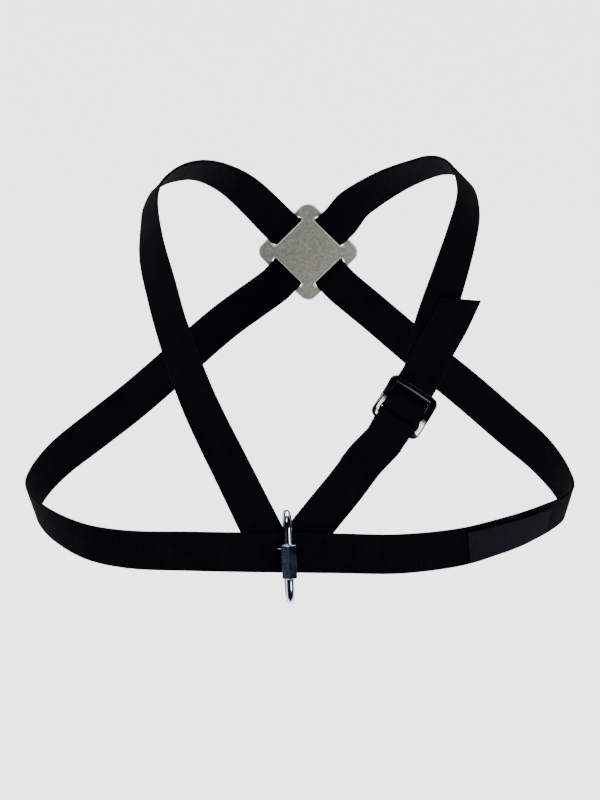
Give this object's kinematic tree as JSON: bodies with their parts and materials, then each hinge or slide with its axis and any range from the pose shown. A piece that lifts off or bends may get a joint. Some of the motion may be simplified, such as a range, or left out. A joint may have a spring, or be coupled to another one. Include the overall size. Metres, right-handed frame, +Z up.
{
  "type": "climbing chest harness",
  "caption": "Figure-of-eight chest harness of flat black webbing with a slotted metal back plate, a sliding buckle, a free tail and a screw link on the chest band.",
  "frame": {"origin": "midway between the two places where the straps rest on the shoulders", "axes": "+X to the right as seen from in front, -Y towards the wearer's front, +Z up"},
  "size_m": [0.3428, 0.2391, 0.2594],
  "materials": {
    "webbing": "ribbed woven polyester webbing, nearly black",
    "plate_metal": "tumbled stainless steel, matt grey with bright edges",
    "link_steel": "bright zinc plated steel",
    "buckle_metal": "glossy black enamelled steel",
    "label_patch": "charcoal woven label, bare"
  },
  "bodies": {
    "harness": {"back_plate": "plate_metal", "adjusting_strap": "webbing", "fixed_strap": "webbing", "buckle_strap": "webbing", "label": "label_patch", "buckle": "buckle_metal", "quick_link": "link_steel"},
    "nut": {"link_nut": "link_steel"}
  },
  "joints": [
    {"name": "nut_slide", "type": "slide", "parent": "harness", "child": "nut", "axis": [-0.0366, 0, 0.9993], "range_m": [0, 0.008]}
  ]
}
